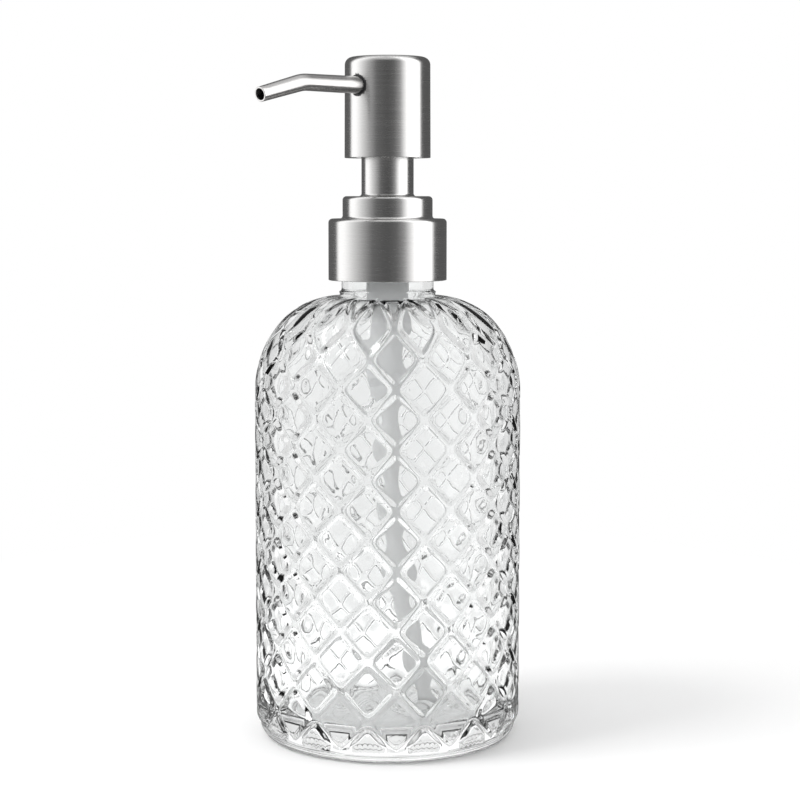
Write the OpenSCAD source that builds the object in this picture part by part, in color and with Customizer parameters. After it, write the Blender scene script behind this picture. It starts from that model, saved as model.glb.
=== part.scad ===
/* [Bottle] */
// Radius of the glass body over the raised pads of its lattice
bottle_r = 37.7; // [30:0.1:50]
// Height where the straight side turns into the shoulder
shoulder_z = 98; // [75:0.5:140]
// Rise of the shoulder above the straight side
shoulder_rise = 28.6; // [20:0.1:40]
// Radius of the neck's outside
neck_r = 13; // [12:0.1:18]
// Height of the neck above the shoulder
neck_h = 15.9; // [14:0.1:20]
// Radius of the neck's bore
neck_bore_r = 10; // [8:0.1:10.5]
// Least thickness of the glass, behind the grooves
glass_wall = 3; // [1.5:0.1:4]
// Thickness of the glass floor
floor_t = 7; // [4:0.1:9]
// Radius of the rounding at the foot of the heel
heel_round = 4; // [2:0.1:4]
// Height of the hollow under the base
push_up = 1.2; // [0.5:0.1:2.5]

/* [Lattice] */
// Number of diamonds round the bottle
columns = 15; // [11:2:19]
// Height of one diamond
diamond_h = 16.4; // [12:0.1:22]
// Height of the middle of the lowest pads
lowest_pads_z = 12; // [10:0.1:14]
// Depth of the grooves between the pads
recess = 1.2; // [0.6:0.1:1.6]
// Width of the grooves at their rims
groove_w = 2; // [1.4:0.1:3]
// Height where the lattice ends above the heel
lattice_foot_z = 4.2; // [3.5:0.1:5]

/* [Thread] */
// Rise of the neck thread in one turn
pitch = 4.233; // [3:0.001:5]
// Number of turns of each thread
turns = 1.25; // [1:0.25:1.5]
// Height of the bottle's thread crest over the neck
thread_h = 1.1; // [0.8:0.05:1.3]

/* [Collar] */
// Radius of the metal skirt
skirt_r = 16.7; // [16.5:0.1:24]
// Height of the metal skirt
skirt_h = 17.3; // [16:0.1:20]
// Radius of the raised step
step_r = 12.7; // [11.5:0.1:14]
// Height of the raised step
step_h = 6.3; // [5:0.1:9]
// Radius of the chimney tube
chimney_r = 7.35; // [7.3:0.05:8]
// Height of the chimney tube
chimney_h = 13.6; // [12.5:0.1:15]
// Gap between the shoulder and the skirt's lower edge
skirt_gap = 3.2; // [2:0.1:4]
// Thickness of the sheet metal
metal_t = 0.4; // [0.3:0.05:0.5]

/* [Head] */
// Radius of the head at its top
head_r = 12; // [11.5:0.1:15]
// How much wider the head is at its foot
head_flare = 0.1; // [0:0.05:0.4]
// Height of the head
head_h = 28.1; // [26:0.1:34]
// Radius of the head's top edge
head_edge_r = 2.2; // [1:0.1:3]
// Distance the head travels when it is pressed
stroke = 10; // [6:0.1:10.5]

/* [Spout] */
// Depth of the spout's axis under the head's top
spout_drop = 8.2; // [6:0.1:8.5]
// Distance from the pump's axis to the bend
spout_straight = 31; // [22:0.5:45]
// Distance from the pump's axis to the tip
spout_reach = 48.1; // [40:0.5:75]
// Angle of the bend
spout_bend = 14; // [5:1:30]
// Radius of the bend's centre line
spout_bend_r = 14; // [8:0.5:20]
// Outside radius at the root
spout_root_r = 2.48; // [2.2:0.01:2.8]
// Outside radius at the tip
spout_tip_r = 2.05; // [1.8:0.01:2.2]
// Radius of the spout's bore
spout_bore_r = 1.55; // [1.2:0.01:1.65]

/* [Pump] */
// Outside radius of the pump housing
housing_r = 6; // [5.8:0.1:8]
// Radius of the pump's cylinder
cylinder_r = 4.9; // [4.8:0.05:5]
// Length of the housing below its flange
housing_l = 47.5; // [45:0.5:60]
// Outside radius of the stem
stem_r = 3.2; // [3.1:0.05:3.4]
// Bore of the stem
stem_bore_r = 1.6; // [1.2:0.05:1.7]
// Radius of the inlet ball
inlet_ball_r = 2.2; // [2:0.05:2.4]
// Radius of the outlet ball
outlet_ball_r = 1.6; // [1.5:0.05:1.7]
// Radius of the spring's wire
wire_r = 0.4; // [0.3:0.05:0.45]
// Number of turns of the spring
spring_turns = 6; // [5:1:8]

/* [Dip tube] */
// Outside radius of the dip tube
tube_r = 3.3; // [2.5:0.1:3.5]
// Wall of the dip tube
tube_wall = 0.8; // [0.6:0.1:1]
// How far the tube's lower end curls to the side
tube_curl = 11.5; // [0:0.5:14]
// Direction in which it curls
tube_turn = -46; // [-180:1:180]
// Gap between its lower end and the floor
tube_gap = 1.5; // [1:0.1:5]

/* [Fits] */
// Radial clearance between pieces that slide or turn
running = 0.05; // [0.02:0.01:0.1]
// Radial clearance between pieces that are fixed to each other
seated = 0.02; // [0:0.01:0.05]
// Gap between pieces that pass without touching
passing = 0.5; // [0.4:0.05:1]
// Lift of each valve ball
inlet_lift = 1.2; // [0.8:0.1:1.4]
outlet_lift = 1.2; // [0.8:0.1:1.4]

/* [Hidden] */
$fn = 96;

// Heights that follow from the bottle
neck_foot_z = shoulder_z + shoulder_rise;
lip_z = neck_foot_z + neck_h;
shoulder_axis_r = neck_r - 1;

// Heights that stack up on the bottle's lip
gasket_t = 1;
flange_t = 1.5;
flange_z = lip_z + gasket_t;
flange_top_z = flange_z + flange_t;
skirt_z = neck_foot_z + skirt_gap;
skirt_top_z = skirt_z + skirt_h;
step_top_z = skirt_top_z + step_h;
chimney_top_z = step_top_z + chimney_h;
edge_r = 1.1;
foot_r = 0.8;
plate_t = 1.6;

// Radii round the neck thread
thread_bore_r = neck_r + thread_h + 0.3;
flange_r = thread_bore_r - 0.8;
closure_hole_r = housing_r + 2.9;

// The head, whose foot stays clear of the step when it is pressed
head_z = step_top_z + stroke + 0.7;
head_top_z = head_z + head_h;
spout_z = head_top_z - spout_drop;
core_floor_z = chimney_top_z + stroke + passing;

// The pump, from its foot up
housing_foot_z = flange_z - housing_l;
socket_l = 7;
inlet_seat_r = 1.6;
inlet_seat_z = housing_foot_z + socket_l + 2;
inlet_ball_z = inlet_seat_z + sqrt(pow(inlet_ball_r, 2) - pow(inlet_seat_r, 2)) + running;
chamber_r = inlet_ball_r + 1;
ledge_z = inlet_ball_z + inlet_ball_r + inlet_lift + 0.3;
cage_t = 2.7;
spring_foot_z = ledge_z + cage_t;
chaplet_foot_z = flange_z - 2.5;
stem_collar_t = 1.3;
stem_collar_z = chaplet_foot_z - 0.4 - stem_collar_t;
piston_h = 6;
piston_z = stem_collar_z - 0.2 - piston_h;
stem_foot_z = piston_z - 0.15;
seat_flange_t = 2;
spring_top_z = stem_foot_z - seat_flange_t;
stem_top_z = spout_z - 2;
outlet_seat_r = 1.2;
outlet_chamber_r = outlet_ball_r + 0.5;
outlet_stop_r = 1.3;
outlet_sit = sqrt(pow(outlet_ball_r, 2) - pow(outlet_seat_r, 2)) + running;
outlet_ball_z = stem_top_z - sqrt(pow(outlet_ball_r, 2) - pow(outlet_stop_r, 2)) - 0.3
    - outlet_lift;
outlet_seat_z = outlet_ball_z - outlet_sit;
chaplet_top_z = chimney_top_z - 1;
wiper_h = 2;
chaplet_r = chimney_r - metal_t - passing + 0.05;
wiper_r = chaplet_r - 1.5;
seal_r = spout_root_r + 0.47;

// Points along an arc of a profile, from one angle to another
function arc(centre, r, from, to, steps = 6) =
    [for (i = [0:steps]) let (a = from + (to - from) * i / steps) centre + r * [cos(a), sin(a)]];

function reversed(points) = [for (i = [len(points) - 1:-1:0]) points[i]];

// Faces of a closed tube of rings, each with the same number of points
function tube_faces(rings, sides) = concat(
    [[for (j = [sides - 1:-1:0]) j]],
    [for (i = [0:rings - 2], j = [0:sides - 1])
        [i * sides + j, i * sides + (j + 1) % sides,
         (i + 1) * sides + (j + 1) % sides, (i + 1) * sides + j]],
    [[for (j = [0:sides - 1]) (rings - 1) * sides + j]]);

// ---- Glass bottle ----

// The shoulder is a quarter of an ellipse: its point at an angle, sunk by a depth
function shoulder_point(angle, sunk) = [
    shoulder_axis_r + (bottle_r - shoulder_axis_r - sunk) * cos(angle),
    shoulder_z + (shoulder_rise - sunk) * sin(angle)];

function side_point(z, sunk) = z <= shoulder_z
    ? [bottle_r - sunk, z]
    : shoulder_point(asin((z - shoulder_z) / shoulder_rise), sunk);

// Rows of pads are counted from the lowest one, and each is half a diamond above the last
row_h = diamond_h / 2;
top_row = floor((neck_foot_z - 4 - lowest_pads_z) / row_h);
top_angle = asin((lowest_pads_z + top_row * row_h - shoulder_z) / shoulder_rise);
end_r = (neck_r + 0.2) / cos(180 / columns);
end_angle = acos((end_r - shoulder_axis_r) / (bottle_r - shoulder_axis_r));

// A point of the profile at a row: the last half diamond reaches from the top row to the neck
function row_point(row, sunk) = row <= top_row
    ? side_point(max(lattice_foot_z, lowest_pads_z + row * row_h), sunk)
    : shoulder_point(top_angle + (end_angle - top_angle) * (row - top_row), sunk);

function on_body(turn, point) = let (a = 180 + 360 * turn / columns)
    [point[0] * cos(a), point[0] * sin(a), point[1]];

// Crossings lie half a column aside from the pads of their own row. Those of the foot stand
// out far enough for the heel's top edge to lie under them, and those of the neck are level.
function crossing(row, column) =
    on_body(column + (row % 2 == 0 ? 0.5 : 0), row_point(row,
        row < 0 ? recess / 3 : row > top_row ? 0 : recess));

// A pad is a diamond with its corners pulled in from the crossings by half a groove
pad_share = 1 - groove_w / 2 / (PI * bottle_r / columns * row_h
    / norm([PI * bottle_r / columns, row_h]));

function pad_corners(row, column) = let (c = column + (row % 2 == 0 ? 0 : 0.5)) [
    on_body(c - pad_share / 2, row_point(row, 0)), on_body(c, row_point(row - pad_share, 0)),
    on_body(c + pad_share / 2, row_point(row, 0)), on_body(c, row_point(row + pad_share, 0))];

// The points: all crossings row by row, then four corners for each pad
function lattice_points() = concat(
    [for (row = [-1:top_row + 1], k = [0:columns - 1]) crossing(row, k)],
    [for (row = [0:top_row], k = [0:columns - 1]) each pad_corners(row, k)]);

function crossing_index(row, column) = (row + 1) * columns + (column + columns) % columns;

// Each pad has a top of two facets and a slope of two facets on each of its four sides
function pad_faces(row, column) = let (
    left = column - 1 + row % 2,
    first = (top_row + 3) * columns + 4 * (row * columns + column),
    inner = [first, first + 1, first + 2, first + 3],
    outer = [crossing_index(row, left), crossing_index(row - 1, column),
             crossing_index(row, left + 1), crossing_index(row + 1, column)])
    concat([[inner[0], inner[1], inner[3]], [inner[1], inner[2], inner[3]]],
        [for (i = [0:3]) each [[outer[i], outer[(i + 1) % 4], inner[i]],
            [outer[(i + 1) % 4], inner[(i + 1) % 4], inner[i]]]]);

// The band under the lowest pads, and the one between the top pads
function end_faces(column) = [
    [crossing_index(-1, column), crossing_index(-1, column + 1), crossing_index(0, column)],
    [crossing_index(top_row, column + top_row % 2), crossing_index(top_row + 1, column + 1),
     crossing_index(top_row + 1, column)]];

module lattice_body() polyhedron(lattice_points(), [for (f = concat(
    [[for (k = [columns - 1:-1:0]) crossing_index(-1, k)]],
    [for (row = [0:top_row], k = [0:columns - 1]) each pad_faces(row, k)],
    [for (k = [0:columns - 1]) each end_faces(k)],
    [[for (k = [0:columns - 1]) crossing_index(top_row + 1, k)]])) reversed(f)]);

// A thread ridge: four points per step, at the inner and outer radius
module thread_ridge(root_r, crest_r, root_w, crest_w, z) {
    steps = round(36 * turns);
    sweep = [for (i = [0:steps]) let (a = 360 * turns * i / steps,
        fade = min(1, i / 3, (steps - i) / 3), r = root_r + (crest_r - root_r) * fade,
        rise = z + pitch * a / 360)
        for (p = [[root_r - sign(crest_r - root_r) * 0.4, -root_w / 2], [r, -crest_w / 2],
                  [r, crest_w / 2], [root_r - sign(crest_r - root_r) * 0.4, root_w / 2]])
        [p[0] * cos(a), p[0] * sin(a), rise + p[1]]];
    faces = tube_faces(steps + 1, 4);
    polyhedron(sweep, crest_r > root_r ? faces : [for (f = faces) reversed(f)]);
}

heel_r = bottle_r - recess - 0.1;
cavity_r = bottle_r - recess - glass_wall;
cavity_edge_r = 6;
rest_w = 2;
bottle_thread_z = neck_foot_z + 8.4;

module bottle() color([0.86, 0.92, 0.9, 0.35]) difference() {
    union() {
        lattice_body();
        rotate_extrude() polygon(concat(
            [[0, 0]],
            arc([heel_r - heel_round, heel_round], heel_round, -90, 0),
            [[heel_r, lattice_foot_z + 0.5], [neck_r, lattice_foot_z + 0.5]],
            arc([neck_r - 0.8, lip_z - 0.8], 0.8, 0, 90),
            [[0, lip_z]]));
        thread_ridge(neck_r, neck_r + thread_h, 2.5, 1, bottle_thread_z);
    }
    rotate_extrude() polygon(concat(
        [[0, floor_t]],
        arc([cavity_r - cavity_edge_r, floor_t + cavity_edge_r], cavity_edge_r, -90, 0),
        [for (i = [0:16]) shoulder_point(90 * i / 16, recess + glass_wall)],
        [[neck_bore_r, neck_foot_z - 1], [neck_bore_r, lip_z + 1], [0, lip_z + 1]]));
    rotate_extrude() polygon(concat(
        [[0, -1], [heel_r - heel_round - rest_w, -1], [heel_r - heel_round - rest_w, 0],
         [heel_r - heel_round - rest_w - 1, push_up * 0.7]],
        [[0, push_up]]));
}

// ---- Collar ----

// The collar's outline from the skirt's lower edge to the chimney's top, sunk by a depth
function skirt_outline(sunk) = concat(
    [[skirt_r - sunk, skirt_z]],
    arc([skirt_r - edge_r, skirt_top_z - edge_r], edge_r - sunk, 0, 90),
    arc([step_r + foot_r, skirt_top_z + foot_r], foot_r + sunk, 270, 180),
    arc([step_r - edge_r, step_top_z - edge_r], edge_r - sunk, 0, 90));

function chimney_outline(sunk) = concat(
    arc([chimney_r + foot_r, step_top_z + foot_r], foot_r + sunk, 270, 180),
    [[chimney_r - sunk, chimney_top_z]]);

module collar_shell() color("lightsteelblue") rotate_extrude()
    polygon(concat(skirt_outline(0), chimney_outline(0),
        reversed(chimney_outline(metal_t)), reversed(skirt_outline(metal_t))));

module closure() color("whitesmoke") {
    top_z = step_top_z - metal_t - seated;
    rotate_extrude() difference() {
        polygon(concat(skirt_outline(metal_t + seated),
            [[closure_hole_r, top_z], [closure_hole_r, skirt_z]]));
        translate([0, skirt_z - 1]) square([thread_bore_r, flange_top_z - skirt_z + 1]);
        translate([thread_bore_r - 1, skirt_z - 1]) square([skirt_r, 1.5]);
        translate([0, flange_top_z + plate_t])
            square([step_r - 1.9, top_z - flange_top_z - 2 * plate_t]);
    }
    thread_ridge(thread_bore_r, neck_r + 0.35, 2, 0.8, bottle_thread_z - pitch / 2);
}

module neck_gasket() color("white") translate([0, 0, lip_z]) difference() {
    cylinder(h = gasket_t, r = flange_r);
    translate([0, 0, -1]) cylinder(h = gasket_t + 2, r = housing_r + 1);
}

// ---- Pump ----

module pump_housing() color([0.85, 0.87, 0.88, 0.7]) difference() {
    rotate_extrude() polygon([
        [tube_r, housing_foot_z], [tube_r + 1.3, housing_foot_z],
        [tube_r + 1.3, housing_foot_z + 4], [housing_r, housing_foot_z + 6.5],
        [housing_r, flange_z], [flange_r, flange_z], [flange_r, flange_top_z],
        [cylinder_r, flange_top_z], [cylinder_r, ledge_z], [chamber_r, ledge_z],
        [chamber_r, inlet_seat_z + chamber_r - inlet_seat_r], [inlet_seat_r, inlet_seat_z],
        [inlet_seat_r, housing_foot_z + socket_l], [tube_r, housing_foot_z + socket_l]]);
    translate([0, 0, lip_z - 1]) rotate([0, 90, 0]) cylinder(h = housing_r + 1, r = 0.6, $fn = 24);
}

module chaplet() color("white") rotate_extrude() polygon([
    [stem_r + running, chaplet_foot_z], [cylinder_r - seated, chaplet_foot_z],
    [cylinder_r - seated, flange_top_z], [closure_hole_r - 0.4, flange_top_z],
    [closure_hole_r - 0.4, flange_top_z + 1.5], [chaplet_r, flange_top_z + 1.5],
    [chaplet_r, chaplet_top_z], [wiper_r, chaplet_top_z],
    [wiper_r, chaplet_top_z - wiper_h], [stem_r + running, chaplet_top_z - wiper_h],
    [stem_r + running, chaplet_top_z - wiper_h - 3], [wiper_r, chaplet_top_z - wiper_h - 5],
    [wiper_r, flange_top_z + 2.5], [stem_r + running, flange_top_z + 1.5]]);

module stem_wiper() color("gainsboro") rotate_extrude() polygon([
    [stem_r + running, chaplet_top_z - wiper_h + seated], [wiper_r, chaplet_top_z - wiper_h + seated],
    [wiper_r, chaplet_top_z - 0.2], [stem_r + 1, chaplet_top_z - 0.2],
    [stem_r + 0.6, chaplet_top_z - 0.8], [stem_r + running, chaplet_top_z - 0.2]]);

module inlet_ball() color("silver") translate([0, 0, inlet_ball_z]) sphere(r = inlet_ball_r);

module ball_cage() color("white") translate([0, 0, ledge_z]) difference() {
    cylinder(h = cage_t, r = cylinder_r - seated);
    translate([0, 0, -1]) cylinder(h = cage_t + 2, r = inlet_seat_r - 0.2);
    for (a = [0:120:240]) rotate(a) translate([chamber_r - 0.4, 0, -1])
        cylinder(h = cage_t + 2, r = 0.8, $fn = 24);
}

spring_r = cylinder_r - 0.7 - wire_r;
spring_l = spring_top_z - spring_foot_z - 0.1;

module spring() color("darkgray") {
    sides = 8;
    steps = 16 * spring_turns;
    rise = spring_l - 2 * wire_r;
    sweep = [for (i = [0:steps], j = [0:sides - 1])
        let (a = 360 * spring_turns * i / steps, b = 360 * j / sides,
             r = spring_r + wire_r * cos(b))
        [r * cos(a), r * sin(a), spring_foot_z + 0.05 + wire_r + rise * i / steps + wire_r * sin(b)]];
    polyhedron(sweep, tube_faces(steps + 1, sides));
}

module piston() color("white") {
    lip_r = cylinder_r - running;
    bore_r = stem_r + running;
    top_z = piston_z + piston_h;
    waist_r = cylinder_r - 0.7;
    rotate_extrude() polygon([
        [bore_r, piston_z], [waist_r, piston_z], [lip_r, piston_z + 0.5], [lip_r, piston_z + 1.3],
        [waist_r, piston_z + 2], [waist_r, top_z - 2], [lip_r, top_z - 1.3], [lip_r, top_z - 0.5],
        [waist_r, top_z], [bore_r, top_z]]);
}

module stem() color("white") rotate_extrude() polygon([
    [stem_bore_r, stem_foot_z], [stem_r, stem_foot_z], [stem_r, stem_collar_z],
    [stem_r + 0.9, stem_collar_z], [stem_r + 0.9, stem_collar_z + stem_collar_t],
    [stem_r, stem_collar_z + stem_collar_t], [stem_r, stem_top_z],
    [outlet_chamber_r, stem_top_z], [outlet_chamber_r, outlet_seat_z + outlet_chamber_r - outlet_seat_r],
    [outlet_seat_r, outlet_seat_z], [outlet_seat_r, outlet_seat_z - 1.5],
    [stem_bore_r, outlet_seat_z - 2]]);

module piston_seat() color("white") rotate_extrude() polygon([
    [0.9, spring_top_z], [stem_r + 1, spring_top_z], [stem_r + 1, stem_foot_z],
    [stem_bore_r - seated, stem_foot_z], [stem_bore_r - seated, stem_foot_z + 4],
    [0.9, stem_foot_z + 4]]);

module outlet_ball() color("silver") translate([0, 0, outlet_ball_z]) sphere(r = outlet_ball_r);

// The tube hangs straight for a while and then curls aside as a parabola
tube_top_z = housing_foot_z + socket_l;
tube_foot_z = floor_t + tube_gap;

function tube_centre(t) = let (curl = tube_curl * pow(max(0, t - 0.15) / 0.85, 2))
    [curl * cos(tube_turn), curl * sin(tube_turn), tube_top_z + (tube_foot_z - tube_top_z) * t];

module tube_solid(r, grow) {
    rings = 14;
    sides = 12;
    path = [for (i = [0:rings - 1]) tube_centre(i == 0 ? -grow : i == 1 ? 0.14
        : 0.14 + (0.86 + grow) * (i - 1) / (rings - 2))];
    polyhedron([for (p = path, j = [0:sides - 1])
        p + r * [cos(360 * j / sides), sin(360 * j / sides), 0]],
        tube_faces(rings, sides));
}

module dip_tube() color([0.95, 0.95, 0.93, 0.8]) difference() {
    tube_solid(tube_r, 0);
    tube_solid(tube_r - tube_wall, 0.01);
}

// ---- Head ----

// The radius of the head's cone at a height
function head_r_at(z) = head_r + head_flare * (head_top_z - z) / head_h;

// A solid of the head's outside, sunk by a depth
module head_solid(sunk, foot_z) rotate_extrude() polygon(concat(
    [[0, foot_z], [head_r_at(foot_z) - sunk, foot_z]],
    arc([head_r - head_edge_r, head_top_z - head_edge_r], head_edge_r - sunk, 0, 90, 8),
    [[0, head_top_z - sunk]]));

// A round bar along the spout's level stretch, between two distances from the axis
module spout_bar(from, to, r) translate([-from, 0, spout_z]) rotate([0, -90, 0])
    cylinder(h = to - from, r = r);

module head_shell() color("lightsteelblue") difference() {
    head_solid(0, head_z);
    head_solid(metal_t, head_z - 1);
    spout_bar(head_r / 2, head_r + 2, seal_r + seated);
}

module head_core() color("whitesmoke") {
    hub_r = stem_r + 2;
    wall_t = 1.4;
    fit = metal_t + running;
    difference() {
        union() {
            difference() {
                head_solid(fit, head_z + 0.8);
                translate([0, 0, head_z - 1])
                    cylinder(h = head_h - metal_t - wall_t + 1, r = head_r - fit - wall_t);
            }
            translate([0, 0, core_floor_z]) cylinder(h = head_top_z - core_floor_z - 1, r = hub_r);
            spout_bar(0, head_r - fit - 0.3, seal_r + 1);
            for (a = [45:90:315]) rotate(a) translate([0, -0.6, core_floor_z])
                cube([head_r - fit - 0.5, 1.2, head_top_z - core_floor_z - 1]);
        }
        translate([0, 0, core_floor_z - 1]) cylinder(h = stem_top_z - core_floor_z + 1, r = stem_r);
        translate([0, 0, core_floor_z]) cylinder(h = spout_z - core_floor_z, r = outlet_stop_r);
        spout_bar(0, head_r + 2, outlet_stop_r);
        spout_bar(stem_r + 1.3, head_r + 2, spout_root_r);
        spout_bar(head_r - 1.7, head_r + 2, seal_r);
    }
}

// The spout's three stretches, level, bent and sloping, for its outside or its bore. The
// bend is a hair wider, so that the other two run into it cleanly.
module spout_run(root_r, bend_r, tip_r, extra) {
    start = stem_r + 1.3 - extra;
    end = spout_straight + spout_bend_r * sin(spout_bend);
    slope_l = (spout_reach - end) / cos(spout_bend);
    run_in = 0.1;
    translate([-start, 0, spout_z]) rotate([0, -90, 0])
        cylinder(h = spout_straight - start + run_in, r1 = root_r, r2 = bend_r);
    translate([-spout_straight, 0, spout_z - spout_bend_r]) rotate([90, 0, 0]) rotate(90)
        rotate_extrude(angle = spout_bend) translate([spout_bend_r, 0])
            circle(r = bend_r + 0.01, $fn = 48);
    translate([-end, 0, spout_z - spout_bend_r * (1 - cos(spout_bend))])
        rotate([0, -90 - spout_bend, 0]) translate([0, 0, -run_in])
        cylinder(h = slope_l + run_in + extra, r1 = bend_r, r2 = tip_r);
}

module spout() color("lightsteelblue") difference() {
    spout_run(spout_root_r, spout_root_r - 0.18, spout_tip_r, 0);
    spout_run(spout_bore_r, spout_bore_r, spout_bore_r, 1);
}

module spout_seal() color("black") difference() {
    spout_bar(head_r - 1.7, head_r - 0.25, seal_r);
    spout_bar(head_r - 3, head_r + 1, spout_root_r + seated);
}

bottle();
collar_shell();
closure();
neck_gasket();
pump_housing();
chaplet();
stem_wiper();
dip_tube();
inlet_ball();
ball_cage();
spring();
piston();
stem();
piston_seat();
outlet_ball();
head_shell();
head_core();
spout();
spout_seal();
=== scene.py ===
from math import acos, asin, atan2, ceil, cos, hypot, pi, radians, sin, sqrt, tan

import bmesh
import bpy
import numpy as np
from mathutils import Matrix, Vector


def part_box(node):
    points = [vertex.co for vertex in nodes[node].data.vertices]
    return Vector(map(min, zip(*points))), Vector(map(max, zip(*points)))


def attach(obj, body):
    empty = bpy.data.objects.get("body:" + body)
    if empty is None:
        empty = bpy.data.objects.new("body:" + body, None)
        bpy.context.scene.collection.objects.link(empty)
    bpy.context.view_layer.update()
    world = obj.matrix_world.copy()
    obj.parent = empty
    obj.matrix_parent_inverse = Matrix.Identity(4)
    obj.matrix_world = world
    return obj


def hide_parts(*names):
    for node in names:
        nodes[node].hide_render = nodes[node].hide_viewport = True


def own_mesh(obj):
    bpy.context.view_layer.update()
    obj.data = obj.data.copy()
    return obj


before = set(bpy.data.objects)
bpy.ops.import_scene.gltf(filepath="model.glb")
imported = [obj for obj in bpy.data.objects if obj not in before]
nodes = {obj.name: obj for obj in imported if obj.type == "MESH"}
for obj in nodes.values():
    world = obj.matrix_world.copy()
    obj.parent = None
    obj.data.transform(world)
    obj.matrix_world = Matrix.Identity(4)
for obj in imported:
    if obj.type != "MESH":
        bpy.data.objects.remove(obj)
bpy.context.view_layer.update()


# Glass bottle: one pressed and blown piece of thick clear glass. Rounded diamond pads stand
# proud of the wall in rows, with grooves between them, and stretch into petals over the
# shoulder. The heel, the neck with its thread and the smooth inside are part of the piece.
MM = 0.001
body_r = 37.7 * MM              # over the pads
groove_depth = 1.2 * MM
shoulder_z = 98 * MM
shoulder_rise = 28.6 * MM
neck_r = 13 * MM
neck_bore_r = 10 * MM
neck_foot_z = shoulder_z + shoulder_rise
lip_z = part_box("bottle")[1][2]
shoulder_axis_r = neck_r - 1 * MM
columns = 15
row_h = 8.2 * MM
lowest_pads_z = 12 * MM
top_row = 13
heel_round = 4 * MM
cells = 16                      # mesh steps along each side of a pad
wall_t = 3 * MM
floor_z = 7 * MM
floor_crown = 0.5 * MM          # how much the inner floor rises in the middle
push_up = 1.2 * MM

top_angle = asin((lowest_pads_z + top_row * row_h - shoulder_z) / shoulder_rise)
end_angle = acos(1.5 * MM / (body_r - shoulder_axis_r))


def shoulder_point(angle, sunk):
    """Radius and height on the quarter ellipse of the shoulder, and its outward normal."""
    a, b = body_r - shoulder_axis_r - sunk, shoulder_rise - sunk
    normal = (b * cos(angle), a * sin(angle))
    length = hypot(*normal)
    return (shoulder_axis_r + a * cos(angle), shoulder_z + b * sin(angle),
            normal[0] / length, normal[1] / length)


def wall_point(row):
    """The floor of the grooves at a row, from the foot of the lattice to the neck."""
    z = lowest_pads_z + row_h * row * (1.1 if row < 0 else 1)
    if row > top_row:
        return shoulder_point(top_angle + (end_angle - top_angle) * (row - top_row), groove_depth)
    if z > shoulder_z:
        return shoulder_point(asin((z - shoulder_z) / shoulder_rise), groove_depth)
    r = body_r - groove_depth
    if z < heel_round:
        r -= heel_round - sqrt(heel_round ** 2 - (heel_round - z) ** 2)
    return r, z, 1.0, 0.0


def crowded(x, pull=0.62):
    """Moves evenly spaced mesh lines towards the grooves, where the shape changes fast."""
    whole = np.floor(x)
    return x - pull * np.sin(2 * pi * (x - whole)) / (2 * pi)


def arc_points(centre_r, centre_z, r, start, end, steps):
    turns = np.radians(np.linspace(start, end, steps))
    return [(centre_r + r * cos(a), centre_z + r * sin(a)) for a in turns]


around = columns * cells
points, outward, relief, ripple, lattice_place, faces = [], [], [], [], [], []


def add_ring(angles, r, z, normal, pads=0.0, wavy=0.0, place=None):
    """One ring of points; r, z and normal are numbers or one per point. Returns its first index."""
    start = len(points)
    r, z = np.broadcast_to(r, around), np.broadcast_to(z, around)
    points.extend(zip(r * np.cos(angles), r * np.sin(angles), z))
    outward.extend(zip(normal[0] * np.cos(angles), normal[0] * np.sin(angles),
                       np.broadcast_to(normal[1], around)))
    relief.extend([pads] * around)
    ripple.extend([wavy] * around)
    lattice_place.extend(place if place is not None else [(0.0, 0.0, 0.0)] * around)
    return start


def add_pole(z):
    """A single point on the axis, for the middle of the base. Returns its index."""
    for values, value in ((points, (0, 0, z)), (outward, (0, 0, -1)), (relief, 0.0), (ripple, 0.0),
                          (lattice_place, (0.0, 0.0, 0.0))):
        values.append(value)
    return len(points) - 1


def join_rings(lower, upper):
    for k in range(around):
        n = (k + 1) % around
        faces.append((lower + k, lower + n, upper + n, upper + k))


# Mesh lines of the lattice run along its grooves: a point lies at i steps along one
# diagonal and j along the other, and row m = i - j holds every second crossing of the lines.
lattice_rows = range(-cells, (top_row + 1) * cells + 1)
row_start = {}
lattice_angles = {}
for m in lattice_rows:
    k = np.arange(around)
    i, j = k + (m + 1) // 2, k - m // 2
    along, across = crowded(i / cells), crowded(j / cells)
    column, row = (along + across) / 2 - 0.5, along - across
    angles = pi + 2 * pi * column / columns
    made = [wall_point(v) for v in row]
    r, z, nr, nz = (np.array(v) for v in zip(*made))
    lattice_angles[m] = angles
    row_start[m] = add_ring(angles, r, z, (nr, nz), 1.0, 0.25,
                            list(zip(column, row, np.zeros(around))))

last = lattice_rows[-1]
for m in lattice_rows:
    for k in range(around):
        right, left = (k + m % 2) % around, (k + m % 2 - 1) % around
        if m + 2 <= last:
            faces.append((row_start[m] + k, row_start[m + 1] + right,
                          row_start[m + 2] + k, row_start[m + 1] + left))
        if m == -cells:
            faces.append((row_start[m] + k, row_start[m] + (k + 1) % around,
                          row_start[m + 1] + right))
        if m == last - 1:
            faces.append((row_start[m] + k, row_start[last] + right, row_start[last] + left))

# The heel rounds down to the ring that the bottle stands on, and the base is pushed up.
heel_angles = lattice_angles[-cells]
rest_r = body_r - groove_depth - heel_round
ring = row_start[-cells]
heel_path = arc_points(rest_r, heel_round, heel_round, -18, -90, 10)
heel_path += [(rest_r - 2 * MM, 0), (rest_r - 2.6 * MM, 0.25 * MM), (rest_r - 3.2 * MM, 0.8 * MM),
              (rest_r - 6 * MM, 1 * MM), (15 * MM, 1.15 * MM), (3 * MM, push_up)]
for r, z in heel_path:
    lower = add_ring(heel_angles, r, z, (0, -1))
    join_rings(lower, ring)
    ring = lower
middle = add_pole(push_up)
faces.extend((middle, ring + (k + 1) % around, ring + k) for k in range(around))

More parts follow.
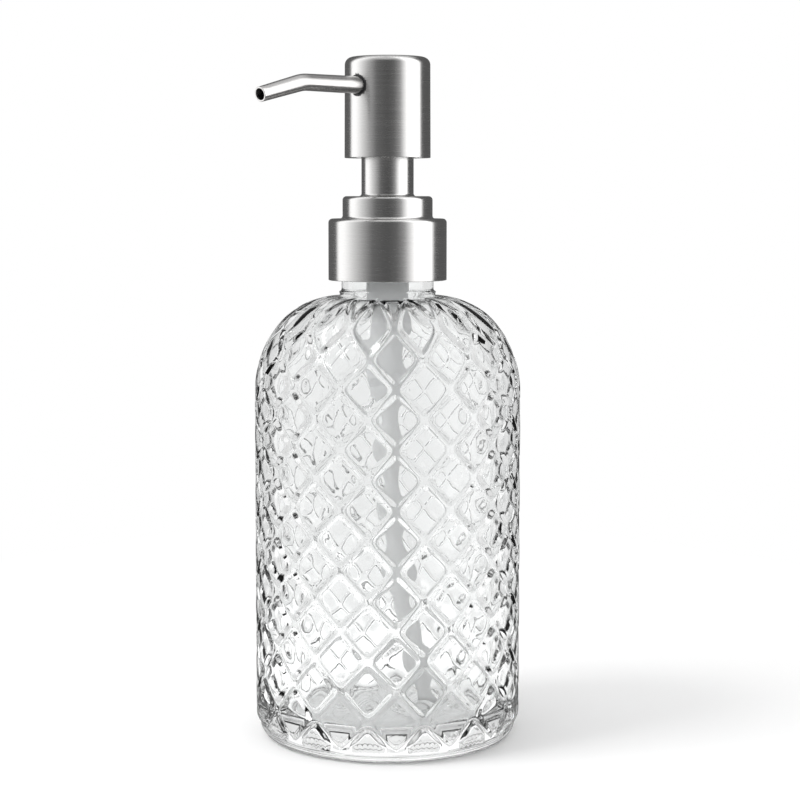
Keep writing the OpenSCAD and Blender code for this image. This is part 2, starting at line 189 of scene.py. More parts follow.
# The neck's thread: a ridge that climbs 4.233 mm a turn for a turn and a quarter.
thread_h, thread_pitch, thread_turns, thread_foot = 1.1 * MM, 4.233 * MM, 1.25, 135 * MM
neck_angles = lattice_angles[last]


def thread_height(angle, z):
    best = 0.0
    for turn in (angle, angle + 2 * pi):
        turn = turn % (4 * pi)
        if turn > 2 * pi * thread_turns:
            continue
        ends = min(1.0, turn / 0.5, (2 * pi * thread_turns - turn) / 0.5)
        off = abs(z - thread_foot - thread_pitch * turn / (2 * pi))
        best = max(best, ends * min(1.0, max(0.0, (1.25 * MM - off) / (0.75 * MM))))
    return best * thread_h


ring = row_start[last]
neck_path = arc_points(neck_r + 0.8 * MM, neck_foot_z + 0.8 * MM, 0.8 * MM, 260, 180, 5)
neck_path += [(neck_r, z) for z in np.linspace(neck_foot_z + 1.6 * MM, lip_z - 1.2 * MM, 28)]
neck_path += arc_points(neck_r - 0.8 * MM, lip_z - 0.8 * MM, 0.8 * MM, 0, 90, 5)
neck_path += arc_points(neck_bore_r + 0.6 * MM, lip_z - 0.6 * MM, 0.6 * MM, 90, 180, 5)
neck_path += [(neck_bore_r, lip_z - 6 * MM), (neck_bore_r, neck_foot_z + 2 * MM)]
for r, z in neck_path:
    ridge = [thread_height(a % (2 * pi), z) if r >= neck_r else 0 for a in neck_angles]
    upper = add_ring(neck_angles, r + np.array(ridge), z, (1, 0))
    join_rings(ring, upper)
    ring = upper

# The inside follows the outside at a distance and is gently wavy, as blown glass is.
cavity_r = body_r - groove_depth - wall_t
inner_sunk = groove_depth + wall_t
inner_path = [(neck_bore_r + 0.1 * MM, neck_foot_z - 1.2 * MM, 1.0, 0.0, 0.0),
              (neck_bore_r + 0.7 * MM, neck_foot_z - 2.9 * MM, 0.9, 0.4, 0.0)]
for angle in np.radians(np.linspace(86, 0, 30)):
    r, z, nr, nz = shoulder_point(angle, inner_sunk)
    inner_path.append((r, z, nr, nz, min(1.0, cos(angle) * 2)))
for z in np.linspace(shoulder_z - 1.2 * MM, floor_z + 7 * MM, 52):
    inner_path.append((cavity_r, z, 1.0, 0.0, 1.0))
for r, z in arc_points(cavity_r - 6 * MM, floor_z + 6 * MM, 6 * MM, 0, -90, 12):
    inner_path.append((r, z, 1.0, 0.0, 0.5))
for share in (0.85, 0.65, 0.45, 0.25, 0.1):
    inner_path.append(((cavity_r - 6 * MM) * share, floor_z + floor_crown * (1 - share), 0, -1, 0.3))
for r, z, nr, nz, wavy in inner_path:
    columns_at = (neck_angles - pi) * columns / (2 * pi)
    row = (z - lowest_pads_z) / row_h
    upper = add_ring(neck_angles, r, z, (nr, nz), 0.0, wavy,
                     [(column, row, wavy) for column in columns_at])
    join_rings(ring, upper)
    ring = upper
middle = add_pole(floor_z + floor_crown)
faces.extend((ring + k, ring + (k + 1) % around, middle) for k in range(around))

blank_mesh = bpy.data.meshes.new("glass_bottle")
blank_mesh.from_pydata([tuple(map(float, p)) for p in points], [], faces)
for name, kind, values in (("outward", "FLOAT_VECTOR", outward),
                           ("place", "FLOAT_VECTOR", lattice_place),
                           ("relief", "FLOAT", relief), ("ripple", "FLOAT", ripple)):
    layer = blank_mesh.attributes.new(name, kind, "POINT")
    layer.data.foreach_set("vector" if "VECTOR" in kind else "value",
                           np.array(values, float).ravel())
blank_mesh.shade_smooth()


def new_tree(name, inputs):
    """A Geometry Nodes tree with a mesh going in and out and these named number inputs."""
    tree = bpy.data.node_groups.new(name, "GeometryNodeTree")
    tree.interface.new_socket("Geometry", in_out="INPUT", socket_type="NodeSocketGeometry")
    for label, value in inputs.items():
        socket = tree.interface.new_socket(label, in_out="INPUT", socket_type="NodeSocketFloat")
        socket.default_value = value
    tree.interface.new_socket("Geometry", in_out="OUTPUT", socket_type="NodeSocketGeometry")
    return tree, tree.nodes.new("NodeGroupInput"), tree.nodes.new("NodeGroupOutput")


def link(tree, source, target):
    """Sets a node's input: from another socket, or to a plain value."""
    if isinstance(source, bpy.types.NodeSocket):
        tree.links.new(source, target)
    else:
        target.default_value = source


def calc(tree, operation, *values, clamp=False):
    """One math node; values are sockets or numbers."""
    node = tree.nodes.new("ShaderNodeMath")
    node.operation, node.use_clamp = operation, clamp
    for value, socket in zip(values, node.inputs):
        link(tree, value, socket)
    return node.outputs[0]


def named(tree, name, kind):
    node = tree.nodes.new("GeometryNodeInputNamedAttribute")
    node.data_type = kind
    node.inputs["Name"].default_value = name
    return node.outputs["Attribute"]


def finish_tree(tree, geometry, out, material):
    """Every tree ends by realizing instances and setting the material."""
    real = tree.nodes.new("GeometryNodeRealizeInstances")
    paint = tree.nodes.new("GeometryNodeSetMaterial")
    paint.inputs["Material"].default_value = material
    tree.links.new(geometry, real.inputs["Geometry"])
    tree.links.new(real.outputs["Geometry"], paint.inputs["Geometry"])
    tree.links.new(paint.outputs["Geometry"], out.inputs["Geometry"])


scene = bpy.context.scene


def baked(obj, tree, name):
    """Runs a tree on an object and returns its result as a plain mesh object."""
    modifier = obj.modifiers.new("shape", "NODES")
    modifier.node_group = tree
    scene.collection.objects.link(obj)
    bpy.context.view_layer.update()
    mesh = bpy.data.meshes.new_from_object(obj.evaluated_get(bpy.context.evaluated_depsgraph_get()))
    bpy.data.objects.remove(obj)
    mesh.name = name
    made = bpy.data.objects.new(name, mesh)
    scene.collection.objects.link(made)
    return made


def new_material(name, **values):
    """A material with a Principled shader; values are its sockets' names with _ for spaces."""
    material = bpy.data.materials.new(name)
    material.use_nodes = True
    shader = material.node_tree.nodes["Principled BSDF"]
    for key, value in values.items():
        shader.inputs[key.replace("_", " ")].default_value = value
    return material, material.node_tree, shader


glass = new_material(
    "clear_glass", Base_Color=(0.95, 0.957, 0.956, 1), Roughness=0.0, IOR=1.5,
    Transmission_Weight=1.0)[0]

# The mould's lattice: each diamond is taken as a square with rounded corners, and the glass
# rises to a pad where a point lies inside its outline.
tree, given, out = new_tree("pressed_lattice", {
    "Pad height": groove_depth, "Groove width": 0.75 * MM, "Slope width": 0.75 * MM,
    "Corner radius": 2.1 * MM, "Pillow": 0.12 * MM, "Foot height": 4.6 * MM, "Ripple": 0.55 * MM,
    "Inside swell": 0.34 * MM})
pad_side = 2 * (pi * body_r / columns) * row_h / hypot(pi * body_r / columns, row_h)
place = tree.nodes.new("ShaderNodeSeparateXYZ")
tree.links.new(named(tree, "place", "FLOAT_VECTOR"), place.inputs[0])
half_row = calc(tree, "MULTIPLY", place.outputs["Y"], 0.5)
sides, waves = [], []
for step in ("ADD", "SUBTRACT"):
    diagonal = calc(tree, "ADD", calc(tree, step, place.outputs["X"], half_row), 0.5)
    from_middle = calc(tree, "ABSOLUTE", calc(tree, "SUBTRACT", calc(tree, "FRACT", diagonal), 0.5))
    sides.append(calc(tree, "MULTIPLY", from_middle, pad_side))
    waves.append(calc(tree, "COSINE", calc(tree, "MULTIPLY", diagonal, 2 * pi)))
half_side = calc(tree, "MULTIPLY", calc(tree, "SUBTRACT", pad_side, given.outputs["Groove width"]), 0.5)
inset = calc(tree, "SUBTRACT", half_side, given.outputs["Corner radius"])
past = [calc(tree, "MAXIMUM", calc(tree, "SUBTRACT", side, inset), 0) for side in sides]
corner = calc(tree, "SQRT", calc(tree, "ADD", calc(tree, "MULTIPLY", past[0], past[0]),
                                 calc(tree, "MULTIPLY", past[1], past[1])))
straight = calc(tree, "MINIMUM", calc(tree, "MAXIMUM", calc(tree, "SUBTRACT", sides[0], inset),
                                      calc(tree, "SUBTRACT", sides[1], inset)), 0)
outline = calc(tree, "SUBTRACT", calc(tree, "ADD", corner, straight), given.outputs["Corner radius"])
position = tree.nodes.new("GeometryNodeInputPosition")
xyz = tree.nodes.new("ShaderNodeSeparateXYZ")
tree.links.new(position.outputs[0], xyz.inputs[0])
foot = calc(tree, "SUBTRACT", given.outputs["Foot height"], xyz.outputs["Z"])
outline = calc(tree, "SMOOTH_MAX", outline, foot, 0.9 * MM)
inside = calc(tree, "DIVIDE", calc(tree, "MULTIPLY", outline, -1), given.outputs["Slope width"],
              clamp=True)
rise = calc(tree, "MULTIPLY", calc(tree, "MULTIPLY", inside, inside),
            calc(tree, "SUBTRACT", 3, calc(tree, "MULTIPLY", inside, 2)))
depth_in = calc(tree, "DIVIDE", calc(tree, "MULTIPLY", outline, -1), pad_side / 2, clamp=True)
pillow = calc(tree, "MULTIPLY", calc(tree, "POWER", calc(tree, "SUBTRACT", 1, depth_in), 2),
              given.outputs["Pillow"])
pad = calc(tree, "MULTIPLY", rise, calc(tree, "SUBTRACT", given.outputs["Pad height"], pillow))
# The pads round off towards the heel and flatten out towards the neck.
pads_round_z, pads_round_r = 7.5 * MM, 10 * MM
below = calc(tree, "MAXIMUM", calc(tree, "SUBTRACT", pads_round_z, xyz.outputs["Z"]), 0)
pad = calc(tree, "MAXIMUM", 0, calc(tree, "SUBTRACT", pad, calc(
    tree, "DIVIDE", calc(tree, "MULTIPLY", below, below), 2 * pads_round_r)))
fade = calc(tree, "MULTIPLY", calc(tree, "SUBTRACT", top_row + 1, place.outputs["Y"]), 1.15, clamp=True)
pad = calc(tree, "MULTIPLY", pad, fade)
noise = tree.nodes.new("ShaderNodeTexNoise")
noise.inputs["Scale"].default_value = 150
noise.inputs["Detail"].default_value = 1.5
tree.links.new(position.outputs[0], noise.inputs["Vector"])
wave = calc(tree, "MULTIPLY", calc(tree, "SUBTRACT", noise.outputs["Fac"], 0.5), given.outputs["Ripple"])
offset = calc(tree, "ADD", calc(tree, "MULTIPLY", pad, named(tree, "relief", "FLOAT")),
              calc(tree, "MULTIPLY", wave, named(tree, "ripple", "FLOAT")))
# Inside, the wall swells a little behind each pad.
swell = calc(tree, "MULTIPLY", calc(tree, "MULTIPLY", calc(tree, "ADD", *waves), place.outputs["Z"]),
             calc(tree, "MULTIPLY", given.outputs["Inside swell"], -0.5))
offset = calc(tree, "ADD", offset, swell)
direction = tree.nodes.new("ShaderNodeVectorMath")
direction.operation = "SCALE"
tree.links.new(named(tree, "outward", "FLOAT_VECTOR"), direction.inputs[0])
tree.links.new(offset, direction.inputs["Scale"])
move = tree.nodes.new("GeometryNodeSetPosition")
tree.links.new(given.outputs["Geometry"], move.inputs["Geometry"])
tree.links.new(direction.outputs[0], move.inputs["Offset"])
finish_tree(tree, move.outputs["Geometry"], out, glass)

glass_bottle = baked(bpy.data.objects.new("glass_blank", blank_mesh), tree, "glass_bottle")
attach(glass_bottle, "bottle")
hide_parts("bottle")


# Steel skins: the collar and the head's cap are drawn from thin stainless sheet, polished
# and then brushed round the axis. Each is one shell with softly rolled edges.
def brushed_steel(name, colour, roughness, grain=0.05, axis="Z", scale=(80, 80, 4500)):
    """Satin stainless with fine grain that runs round an axis."""
    material, tree, shader = new_material(
        name, Base_Color=colour, Metallic=1.0, Roughness=roughness, Anisotropic=0.7,
        Anisotropic_Rotation=0.25)
    place = tree.nodes.new("ShaderNodeTexCoord")
    stretch = tree.nodes.new("ShaderNodeMapping")
    stretch.inputs["Scale"].default_value = scale
    lines = tree.nodes.new("ShaderNodeTexNoise")
    lines.inputs["Scale"].default_value = 1
    lines.inputs["Detail"].default_value = 3
    spread = tree.nodes.new("ShaderNodeMapRange")
    spread.inputs["To Min"].default_value = roughness - grain
    spread.inputs["To Max"].default_value = roughness + grain
    tone = tree.nodes.new("ShaderNodeMix")
    tone.data_type = "RGBA"
    tone.inputs["A"].default_value = [c * 0.91 for c in colour[:3]] + [1]
    tone.inputs["B"].default_value = [min(1, c * 1.06) for c in colour[:3]] + [1]
    bump = tree.nodes.new("ShaderNodeBump")
    bump.inputs["Strength"].default_value = 0.12
    bump.inputs["Distance"].default_value = 0.00002
    tangent = tree.nodes.new("ShaderNodeTangent")
    tangent.direction_type, tangent.axis = "RADIAL", axis
    tree.links.new(place.outputs["Object"], stretch.inputs["Vector"])
    tree.links.new(stretch.outputs[0], lines.inputs["Vector"])
    tree.links.new(lines.outputs["Fac"], spread.inputs["Value"])
    tree.links.new(lines.outputs["Fac"], tone.inputs["Factor"])
    tree.links.new(lines.outputs["Fac"], bump.inputs["Height"])
    tree.links.new(tone.outputs["Result"], shader.inputs["Base Color"])
    tree.links.new(spread.outputs[0], shader.inputs["Roughness"])
    tree.links.new(bump.outputs[0], shader.inputs["Normal"])
    tree.links.new(tangent.outputs[0], shader.inputs["Tangent"])
    return material


def turned(name, corners, material, around=192):
    """A closed ring of (radius, height) points turned round the pump's axis, as one mesh.
    Long straight runs get points in between, so that they shade as straight."""
    outline = []
    for (r0, z0), (r1, z1) in zip(corners, corners[1:] + corners[:1]):
        steps = ceil(hypot(r1 - r0, z1 - z0) / (0.8 * MM))
        outline += [(r0 + (r1 - r0) * i / steps, z0 + (z1 - z0) * i / steps) for i in range(steps)]
    count = len(outline)
    verts, quads = [], []
    for k in range(around):
        a = 2 * pi * k / around
        verts += [(r * cos(a), r * sin(a), z) for r, z in outline]
        n = (k + 1) % around
        quads += [(k * count + i, n * count + i, n * count + (i + 1) % count,
                   k * count + (i + 1) % count) for i in range(count)]
    mesh = bpy.data.meshes.new(name)
    mesh.from_pydata(verts, [], quads)
    mesh.shade_smooth()
    mesh.materials.append(material)
    made = bpy.data.objects.new(name, mesh)
    scene.collection.objects.link(made)
    return made


def offset_path(corners, sunk):
    """The rounded corners (radius, height, rounding, turn) of a skin, sunk by a depth. An
    outward corner (turn 1) loses the depth from its rounding, an inward one (turn -1) gains it."""
    path = []
    for r, z, rounding, turn in corners:
        if turn > 0:
            path += arc_points(r - rounding, z - rounding, rounding - sunk, 0, 90, 10)
        else:
            path += arc_points(r + rounding, z + rounding, rounding + sunk, 270, 180, 8)
    return path


def rolled(r, z, upper):
    """The rolled edge of a skin whose outside is at r, from its outside (upper) or inside."""
    half = sheet_t / 2
    if upper:
        return arc_points(r - half, z - half, half, 0, 180, 9)
    return arc_points(r - half, z + half, half, 180, 360, 9)


sheet_t = 0.4 * MM
collar_low, collar_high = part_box("collar_shell")
skirt_r = collar_high[0]
skirt_z, chimney_top = collar_low[2], collar_high[2]
skirt_top, step_r = skirt_z + 17.3 * MM, 12.7 * MM
step_top, chimney_r = skirt_z + 23.6 * MM, 7.35 * MM
collar_corners = [(skirt_r, skirt_top, 1.1 * MM, 1),
                  (step_r, skirt_top, 0.8 * MM, -1), (step_r, step_top, 1.1 * MM, 1),
                  (chimney_r, step_top, 0.8 * MM, -1)]
steel = brushed_steel("brushed_stainless", (0.655, 0.65, 0.645, 1), 0.25, 0.08)
collar_skin = turned("collar_skin", rolled(skirt_r, skirt_z, False) + offset_path(collar_corners, 0)
                     + rolled(chimney_r, chimney_top, True)
                     + offset_path(collar_corners, sheet_t)[::-1], steel)
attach(collar_skin, "collar")
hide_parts("collar_shell")

head_low, head_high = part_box("head_shell")
head_foot_r, head_foot, head_top = head_high[0], head_low[2], head_high[2]
head_r = head_foot_r - 0.1 * MM
head_edge = 2.2 * MM
spout_z = head_top - 8.2 * MM


def head_path(sunk):
    return (arc_points(head_r - head_edge, head_top - head_edge, head_edge - sunk, 0, 90, 16)
            + [((head_r - head_edge) * s, head_top - sunk) for s in (0.7, 0.4, 0.1, 0.001)])


head_skin = turned("head_skin", rolled(head_foot_r, head_foot, False) + head_path(0)
                   + head_path(sheet_t)[::-1], steel)


# The spout: a slim stainless tube, tapered by swaging and bent a little downwards. A dark
# ring seals it where it enters the head.
spout_steel = brushed_steel("tube_stainless", (0.64, 0.63, 0.625, 1), 0.22, 0.04, "X", (60, 4500, 4500))
spout_low, spout_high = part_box("spout")
root_r, bend_outer_r, tip_outer_r, bore_r = 2.48 * MM, 2.3 * MM, 2.05 * MM, 1.55 * MM
straight_end, bend_r, bend = 31 * MM, 14 * MM, radians(14)
reach = 48.1 * MM
slope_start = straight_end + bend_r * sin(bend)
tube_path = [(s, spout_z, 0.0) for s in np.linspace(-spout_high[0], straight_end, 14)]
tube_path += [(straight_end + bend_r * sin(a), spout_z - bend_r * (1 - cos(a)), a)
              for a in np.linspace(0, bend, 9)[1:]]
tube_path += [(slope_start + s, spout_z - bend_r * (1 - cos(bend)) - s * tan(bend), bend)
              for s in np.linspace(0, reach - slope_start, 10)[1:]]


def swept(name, path, radii, bores, material, sides=64):
    """A tube along a path of (distance, height, slope), with a rounded rim at its far end."""
    rim = 0.12 * MM
    s, z, a = path[-1]
    ring_list = [(*station, r) for station, r in zip(path[:-1], radii)]
    for turn in np.radians(np.linspace(0, 90, 5)):
        back = rim * (1 - sin(turn))
        ring_list.append((s - back * cos(a), z + back * sin(a), a, radii[-1] - rim * (1 - cos(turn))))
    for turn in np.radians(np.linspace(90, 0, 5)):
        back = rim * (1 - sin(turn))
        ring_list.append((s - back * cos(a), z + back * sin(a), a, bores[-1] + rim * (1 - cos(turn))))
    ring_list += [(*station, r) for station, r in zip(path[-2::-1], bores[-2::-1])]
    verts, quads = [], []
    for s0, z0, a0, r in ring_list:
        for k in range(sides):
            t = 2 * pi * k / sides
            verts.append((-(s0 + r * sin(a0) * sin(t)), r * cos(t), z0 + r * cos(a0) * sin(t)))
    total = len(ring_list)
    for i in range(total):
        n = (i + 1) % total
        for k in range(sides):
            m = (k + 1) % sides
            quads.append((i * sides + k, n * sides + k, n * sides + m, i * sides + m))
    mesh = bpy.data.meshes.new(name)
    mesh.from_pydata(verts, [], quads)
    mesh.shade_smooth()
    mesh.materials.append(material)
    made = bpy.data.objects.new(name, mesh)
    scene.collection.objects.link(made)
    return made


straight_l = straight_end + spout_high[0]
taper = [root_r + (bend_outer_r - root_r) * max(0, min(1, (s + spout_high[0]) / straight_l))
         for s, z, a in tube_path]
taper = [r if s < slope_start else bend_outer_r + (tip_outer_r - bend_outer_r) * (s - slope_start)
         / (reach - slope_start) for r, (s, z, a) in zip(taper, tube_path)]
spout_tube = swept("spout_tube", tube_path, taper, [bore_r] * len(tube_path), spout_steel)
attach(spout_tube, "head")
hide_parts("spout")

# The head's cap has a round hole that the spout passes through.
hole_r = 2.97 * MM
cutter_mesh = bpy.data.meshes.new("hole_cutter")
cut_verts = [(x, hole_r * cos(2 * pi * k / 64), spout_z + hole_r * sin(2 * pi * k / 64))
             for x in (-head_foot_r * 1.2, -head_foot_r * 0.6) for k in range(64)]
cut_faces = [(k, (k + 1) % 64, 64 + (k + 1) % 64, 64 + k) for k in range(64)]
cut_faces += [tuple(range(63, -1, -1)), tuple(range(64, 128))]
cutter_mesh.from_pydata(cut_verts, [], cut_faces)
cutter = bpy.data.objects.new("hole_cutter", cutter_mesh)
scene.collection.objects.link(cutter)
cut = head_skin.modifiers.new("hole", "BOOLEAN")
cut.object, cut.operation, cut.solver = cutter, "DIFFERENCE", "EXACT"
bpy.context.view_layer.update()
drilled = bpy.data.meshes.new_from_object(
    head_skin.evaluated_get(bpy.context.evaluated_depsgraph_get()))
head_skin.modifiers.clear()
head_skin.data = drilled
bpy.data.objects.remove(cutter)
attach(head_skin, "head")
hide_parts("head_shell")


# Pump parts inside: moulded plastic pieces, the rubber seals and the steel balls keep their
# exact shape and only get their finish here.
def moulded(name, colour, roughness, **values):
    """Moulded plastic or rubber with a faint uneven gloss."""
    material, tree, shader = new_material(name, Base_Color=colour, Roughness=roughness, **values)
    place = tree.nodes.new("ShaderNodeTexCoord")
    noise = tree.nodes.new("ShaderNodeTexNoise")
    noise.inputs["Scale"].default_value = 700
    bump = tree.nodes.new("ShaderNodeBump")
    bump.inputs["Strength"].default_value = 0.08
    bump.inputs["Distance"].default_value = 0.00004
    tree.links.new(place.outputs["Object"], noise.inputs["Vector"])
    tree.links.new(noise.outputs["Fac"], bump.inputs["Height"])
    tree.links.new(bump.outputs[0], shader.inputs["Normal"])
    return material


def finish_nodes(material, *names):
    for name in names:
        nodes[name].data.materials.clear()
        nodes[name].data.materials.append(material)


white_plastic = moulded("white_polypropylene", (0.82, 0.82, 0.81, 1), 0.45)
frosted = moulded("frosted_polypropylene", (0.93, 0.935, 0.94, 1), 0.5, Transmission_Weight=0.1)
soft_white = moulded("soft_white_seal", (0.8, 0.8, 0.78, 1), 0.6)
dark_rubber = moulded("dark_rubber", (0.02, 0.02, 0.022, 1), 0.5)
polished = brushed_steel("polished_steel", (0.7, 0.7, 0.7, 1), 0.15, 0.03)
finish_nodes(white_plastic, "closure", "chaplet", "ball_cage", "piston", "stem", "piston_seat",
             "head_core")
finish_nodes(frosted, "pump_housing")
finish_nodes(soft_white, "neck_gasket", "stem_wiper")
finish_nodes(dark_rubber, "spout_seal")
finish_nodes(polished, "inlet_ball", "outlet_ball")


# The dip tube: translucent extruded tube that hangs from the housing and curls to one side
# until it nearly meets the floor. It is a curve with a hollow round section swept along it.
tube_material = moulded("tube_polyethylene", (0.96, 0.965, 0.965, 1), 0.3, Transmission_Weight=0.1)
tube_low, tube_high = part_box("dip_tube")
tube_curl, tube_turn = 11.5 * MM, radians(-46)
line = bpy.data.curves.new("dip_tube_line", "CURVE")
line.dimensions = "3D"
spline = line.splines.new("POLY")
steps = 60
spline.points.add(steps - 1)
for i, point in enumerate(spline.points):
    t = i / (steps - 1)
    curl = tube_curl * (max(0, t - 0.15) / 0.85) ** 2
    point.co = (curl * cos(tube_turn), curl * sin(tube_turn),
                tube_high[2] + (tube_low[2] - tube_high[2]) * t, 1)
tree, given, out = new_tree("extruded_tube", {"Outside radius": 3.3 * MM, "Bore radius": 2.5 * MM})
shells = []
for socket, flipped in (("Outside radius", False), ("Bore radius", True)):
    section = tree.nodes.new("GeometryNodeCurvePrimitiveCircle")
    section.inputs["Resolution"].default_value = 40
    tree.links.new(given.outputs[socket], section.inputs["Radius"])
    sweep = tree.nodes.new("GeometryNodeCurveToMesh")
    tree.links.new(given.outputs["Geometry"], sweep.inputs["Curve"])
    tree.links.new(section.outputs["Curve"], sweep.inputs["Profile Curve"])
    shell = sweep.outputs["Mesh"]
    if flipped:
        flip = tree.nodes.new("GeometryNodeFlipFaces")
        tree.links.new(shell, flip.inputs["Mesh"])
        shell = flip.outputs["Mesh"]
    shells.append(shell)
join = tree.nodes.new("GeometryNodeJoinGeometry")
for shell in shells:
    tree.links.new(shell, join.inputs["Geometry"])
finish_tree(tree, join.outputs["Geometry"], out, tube_material)
dip_tube = baked(bpy.data.objects.new("dip_tube_line", line), tree, "dip_tube_extrusion")
# The two cut ends are closed between the tube's outside and its bore.
cut_ends = bmesh.new()
cut_ends.from_mesh(dip_tube.data)
middle_z = (tube_low[2] + tube_high[2]) / 2
for upper in (True, False):
    rim = [e for e in cut_ends.edges if e.is_boundary and (e.verts[0].co.z > middle_z) == upper]
    bmesh.ops.bridge_loops(cut_ends, edges=rim)
bmesh.ops.recalc_face_normals(cut_ends, faces=cut_ends.faces)
cut_ends.to_mesh(dip_tube.data)
cut_ends.free()
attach(dip_tube, "pump_unit")
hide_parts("dip_tube")


# The spring: a coil of round steel wire between the ball cage and the piston's seat.
spring_low, spring_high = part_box("spring")
wire_r, spring_turns = 0.4 * MM, 6
spring_l = spring_high[2] - spring_low[2]
tree, given, out = new_tree("coil_spring", {
    "Turns": float(spring_turns), "Coil radius": spring_high[0] - wire_r, "Wire radius": wire_r,
    "Height": spring_l - 2 * wire_r, "Foot": spring_low[2] + wire_r})
helix = tree.nodes.new("GeometryNodeCurveSpiral")
helix.inputs["Resolution"].default_value = 40
tree.links.new(given.outputs["Turns"], helix.inputs["Rotations"])
tree.links.new(given.outputs["Coil radius"], helix.inputs["Start Radius"])
tree.links.new(given.outputs["Coil radius"], helix.inputs["End Radius"])
tree.links.new(given.outputs["Height"], helix.inputs["Height"])
wire = tree.nodes.new("GeometryNodeCurvePrimitiveCircle")
wire.inputs["Resolution"].default_value = 12
tree.links.new(given.outputs["Wire radius"], wire.inputs["Radius"])
sweep = tree.nodes.new("GeometryNodeCurveToMesh")
sweep.inputs["Fill Caps"].default_value = True
tree.links.new(helix.outputs["Curve"], sweep.inputs["Curve"])
tree.links.new(wire.outputs["Curve"], sweep.inputs["Profile Curve"])
lift = tree.nodes.new("GeometryNodeTransform")
raise_by = tree.nodes.new("ShaderNodeCombineXYZ")
tree.links.new(given.outputs["Foot"], raise_by.inputs["Z"])
tree.links.new(raise_by.outputs[0], lift.inputs["Translation"])
tree.links.new(sweep.outputs["Mesh"], lift.inputs["Geometry"])
finish_tree(tree, lift.outputs["Geometry"], out, polished)
coil = baked(bpy.data.objects.new("coil_blank", bpy.data.meshes.new("coil_blank")), tree, "coil_spring")
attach(coil, "pump_unit")
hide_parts("spring")
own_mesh(coil)


# Stage: a plain white floor that takes the bottle's soft shadow, and turns into the white
# surround a short way out. In the steel it reads darker, as a table beyond the lights would.
floor_material, tree, floor_shader = new_material(
    "pale_floor", Roughness=0.6, Specular_IOR_Level=0.1)


def mix_value(tree, factor, low, high):
    node = tree.nodes.new("ShaderNodeMix")
    link(tree, factor, node.inputs["Factor"])
    link(tree, low, node.inputs["A"])
    link(tree, high, node.inputs["B"])
    return node.outputs["Result"]


def smooth_step(tree, value, start, end, low=0.0, high=1.0):
    """A smooth step from low to high as value goes from start to end."""
    node = tree.nodes.new("ShaderNodeMapRange")
    node.interpolation_type = "SMOOTHSTEP"
    for name, number in (("From Min", start), ("From Max", end), ("To Min", low), ("To Max", high)):
        node.inputs[name].default_value = number
    tree.links.new(value, node.inputs["Value"])
    return node.outputs["Result"]


far = tree.nodes.new("ShaderNodeVectorMath")
far.operation = "LENGTH"
tree.links.new(tree.nodes.new("ShaderNodeTexCoord").outputs["Object"], far.inputs[0])
away = smooth_step(tree, far.outputs["Value"], 0.09, 0.19)
rays = tree.nodes.new("ShaderNodeLightPath")
mirrored = calc(tree, "MULTIPLY", rays.outputs["Is Glossy Ray"],
                calc(tree, "SUBTRACT", 1.0, rays.outputs["Is Transmission Ray"]))
tone = calc(tree, "MULTIPLY", mix_value(tree, away, 0.94, 0.0),
            mix_value(tree, mirrored, 1.0, 0.2))
grey = tree.nodes.new("ShaderNodeCombineColor")
for socket in grey.inputs[:3]:
    tree.links.new(tone, socket)
tree.links.new(grey.outputs[0], floor_shader.inputs["Base Color"])
floor_shader.inputs["Emission Color"].default_value = (1, 1, 1, 1)
glow = calc(tree, "MULTIPLY", away, mix_value(tree, mirrored, 1.0, 0.12))
# Painted light: seen through the glass, the floor near the bottle glows, which lifts the bottle's shadow
# that lies under it.
painted_light_under_glass = calc(tree, "MULTIPLY", calc(tree, "SUBTRACT", 1, away),
                   rays.outputs["Is Transmission Ray"])
tree.links.new(calc(tree, "MULTIPLY_ADD", painted_light_under_glass, 0.3, glow),
               floor_shader.inputs["Emission Strength"])
floor_mesh = bpy.data.meshes.new("floor")
half = 0.3
floor_mesh.from_pydata([(-half, -half, 0), (half, -half, 0), (half, half, 0), (-half, half, 0)],
                       [], [(0, 1, 2, 3)])
floor_mesh.materials.append(floor_material)
floor = bpy.data.objects.new("floor", floor_mesh)
scene.collection.objects.link(floor)


# Light: a white surround, which the steel sees as tall bright panels with dark gaps between
# them, and the glass as a bright ground with greyer parts to the sides and above. One soft
# lamp from the left casts the shadow.
view_angle = radians(-45.7)
towards_camera = (sin(view_angle), -cos(view_angle), 0)
to_the_right = (cos(view_angle), sin(view_angle), 0)
world = bpy.data.worlds.new("studio")
scene.world = world
world.use_nodes = True
tree = world.node_tree
background = tree.nodes["Background"]
way = tree.nodes.new("ShaderNodeTexCoord").outputs["Generated"]


def along(direction):
    node = tree.nodes.new("ShaderNodeVectorMath")
    node.operation = "DOT_PRODUCT"
    tree.links.new(way, node.inputs[0])
    node.inputs[1].default_value = direction
    return node.outputs["Value"]


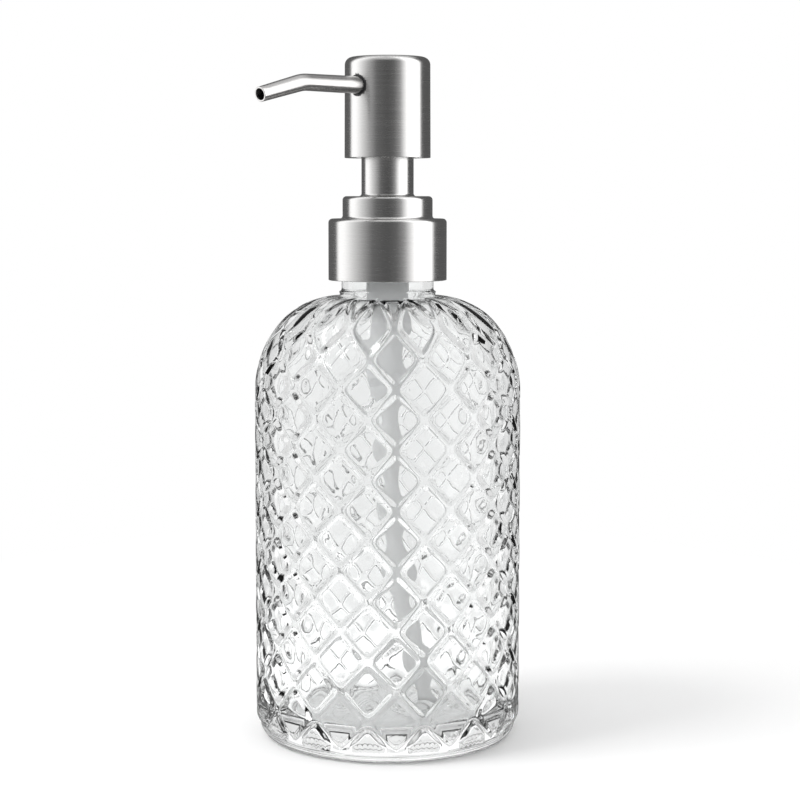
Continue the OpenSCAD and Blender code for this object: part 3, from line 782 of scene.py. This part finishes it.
front, side, up = along(towards_camera), along(to_the_right), along((0, 0, 1))
turn = calc(tree, "ARCTAN2", side, front)
panels = tree.nodes.new("ShaderNodeValToRGB")
stops = ((-180, 0.05), (-119, 0.06), (-111, 0.7), (-92, 0.66), (-70, 0.4), (-48, 0.2), (-30, 0.07),
         (0, 0.04), (18, 0.06), (34, 0.17), (46, 0.5), (60, 0.85), (94, 0.9), (103, 0.05), (180, 0.05))
ramp_stops = panels.color_ramp.elements
while len(ramp_stops) < len(stops):
    ramp_stops.new(0.5)
for stop, (angle, level) in zip(ramp_stops, stops):
    stop.position = (angle + 180) / 360
    stop.color = (level, level, level, 1)
tree.links.new(calc(tree, "MULTIPLY_ADD", turn, 1 / (2 * pi), 0.5), panels.inputs["Fac"])
studio = calc(tree, "MULTIPLY", panels.outputs["Color"], 2.4)
studio = calc(tree, "MAXIMUM", studio, smooth_step(tree, up, 0.6, 0.9, 0, 0.8))
# Seen through the glass: bright ahead and behind, and greyer between, four times round.
flat = calc(tree, "COSINE", calc(tree, "MULTIPLY", turn, 4))
seen_through = calc(tree, "MULTIPLY", calc(tree, "MULTIPLY_ADD", flat, 0.06, 0.9),
                    smooth_step(tree, up, 0.3, 0.9, 1.0, 0.85))
rays = tree.nodes.new("ShaderNodeLightPath")
strength = mix_value(tree, rays.outputs["Is Diffuse Ray"], studio, 0.95)
strength = mix_value(tree, rays.outputs["Is Transmission Ray"], strength, seen_through)
strength = mix_value(tree, rays.outputs["Is Camera Ray"], strength, 1.0)
tree.links.new(strength, background.inputs["Strength"])
background.inputs["Color"].default_value = (1, 1, 1, 1)

lamp_data = bpy.data.lights.new("key_lamp", "AREA")
lamp_data.energy, lamp_data.size = 2.5, 0.3
lamp = bpy.data.objects.new("key_lamp", lamp_data)
lamp.location = [0.55 * (0.35 * f - 0.8 * r) for f, r in zip(towards_camera, to_the_right)][:2] + [0.6]
aim = np.array((0, 0, 0.08)) - np.array(lamp.location)
lamp.rotation_euler = (0, acos(-aim[2] / np.linalg.norm(aim)), atan2(-aim[1], -aim[0]))
lamp.visible_glossy = False
scene.collection.objects.link(lamp)

# Camera: a little under the collar's top and looking slightly down, with a small shift that
# frames the bottle.
distance, eye_z, look_down = 0.5543, 0.1542, radians(4.98)
camera_data = bpy.data.cameras.new("camera")
camera_data.sensor_width, camera_data.lens = 36, 88.15
camera_data.shift_x, camera_data.shift_y = 0.01555, -0.045
camera = bpy.data.objects.new("camera", camera_data)
camera.location = (distance * towards_camera[0], distance * towards_camera[1], eye_z)
camera.rotation_euler = (pi / 2 - look_down, 0, view_angle)
camera_data.clip_start, camera_data.clip_end = 0.01, 20
scene.collection.objects.link(camera)
scene.camera = camera
scene.view_settings.view_transform = "Standard"
